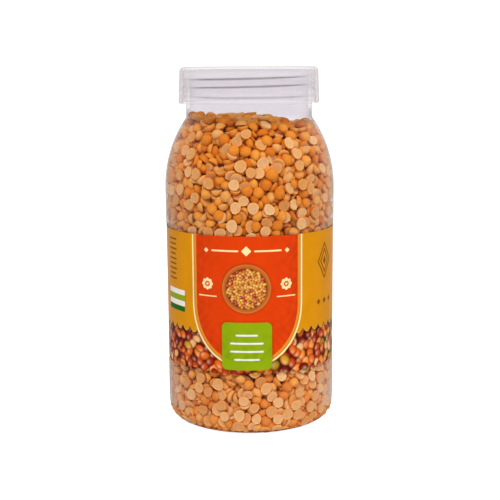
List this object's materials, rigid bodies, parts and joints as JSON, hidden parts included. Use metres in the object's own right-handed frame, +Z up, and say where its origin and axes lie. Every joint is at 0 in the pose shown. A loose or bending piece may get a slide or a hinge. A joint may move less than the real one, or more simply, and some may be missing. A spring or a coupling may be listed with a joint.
{
  "type": "jar of split chickpeas",
  "caption": "Clear plastic wide-mouth jar with rounded shoulders and a clear screw lid, filled with split chickpeas and wrapped in a printed label",
  "frame": {"origin": "middle of the base, on the plane of its standing ring", "axes": "+Z up along the jar's axis, the front of the label faces -Y"},
  "size_m": [0.0932, 0.0932, 0.195],
  "materials": {
    "clear_jar": "clear blow-moulded plastic, smooth and glossy",
    "clear_lid": "clear moulded plastic, slightly hazy",
    "printed_label": "printed film, satin gloss",
    "split_chickpeas": "dry split pulses, smooth domes and duller cut faces"
  },
  "bodies": {
    "root": {"jar": "clear_jar", "lid": "clear_lid", "label": "printed_label", "split_chickpeas": "split_chickpeas"}
  },
  "joints": []
}
